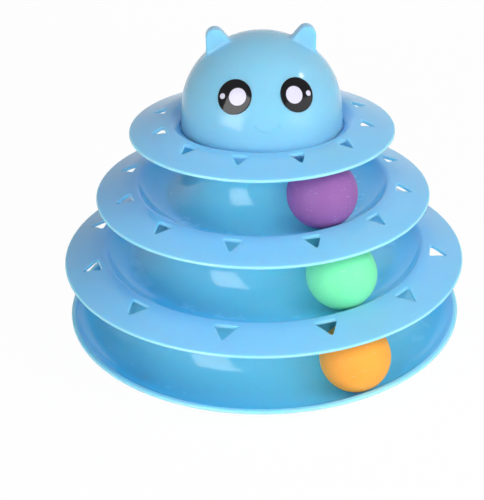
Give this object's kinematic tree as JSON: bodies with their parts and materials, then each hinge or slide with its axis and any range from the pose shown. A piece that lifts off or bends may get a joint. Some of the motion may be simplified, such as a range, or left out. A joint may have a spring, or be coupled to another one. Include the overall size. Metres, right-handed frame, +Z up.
{
  "type": "cat ball track toy",
  "caption": "Stacked ring tracks with vented sloping brims, a loose ball rolling in each track and a hollow cat-head cap.",
  "frame": {"origin": "on the ground under the middle of the tower", "axes": "+Z up along the tower's axis, the cat face looks along -Y, +X to the right of someone facing it"},
  "size_m": [0.245, 0.245, 0.1883],
  "materials": {
    "blue_base": "glossy injection-moulded sky-blue plastic",
    "blue_middle": "glossy injection-moulded sky-blue plastic",
    "blue_upper": "glossy injection-moulded sky-blue plastic",
    "blue_disc": "glossy injection-moulded sky-blue plastic",
    "blue_head": "glossy injection-moulded sky-blue plastic",
    "eye": "glossy black with white printed spots",
    "orange_ball": "satin blow-moulded plastic",
    "green_ball": "satin blow-moulded plastic",
    "purple_ball": "satin blow-moulded plastic",
    "pad": "soft dark rubber"
  },
  "bodies": {
    "base": {"base_track": "blue_base", "foot_pad_1": "pad", "foot_pad_2": "pad", "foot_pad_3": "pad", "foot_pad_4": "pad"},
    "middle": {"middle_track": "blue_middle"},
    "upper": {"upper_track": "blue_upper"},
    "disc": {"top_disc": "blue_disc"},
    "head": {"cat_head": "blue_head", "eye_left": "eye", "eye_right": "eye"},
    "orange_ball": {"ball_orange": "orange_ball"},
    "green_ball": {"ball_green": "green_ball"},
    "purple_ball": {"ball_purple": "purple_ball"}
  },
  "joints": [
    {"name": "orange_roll", "type": "hinge", "parent": "base", "child": "orange_ball", "pos_m": [0, 0, 0.0253], "axis": [0, 0, 1], "continuous": true},
    {"name": "middle_lift", "type": "slide", "parent": "base", "child": "middle", "axis": [0, 0, 1], "range_m": [0, 0.06]},
    {"name": "green_roll", "type": "hinge", "parent": "middle", "child": "green_ball", "pos_m": [0, 0, 0.0658], "axis": [0, 0, 1], "continuous": true},
    {"name": "upper_lift", "type": "slide", "parent": "middle", "child": "upper", "axis": [0, 0, 1], "range_m": [0, 0.06]},
    {"name": "purple_roll", "type": "hinge", "parent": "upper", "child": "purple_ball", "pos_m": [0, 0, 0.1063], "axis": [0, 0, 1], "continuous": true},
    {"name": "disc_lift", "type": "slide", "parent": "upper", "child": "disc", "axis": [0, 0, 1], "range_m": [0, 0.06]},
    {"name": "head_lift", "type": "slide", "parent": "disc", "child": "head", "axis": [0, 0, 1], "range_m": [0, 0.08]}
  ]
}
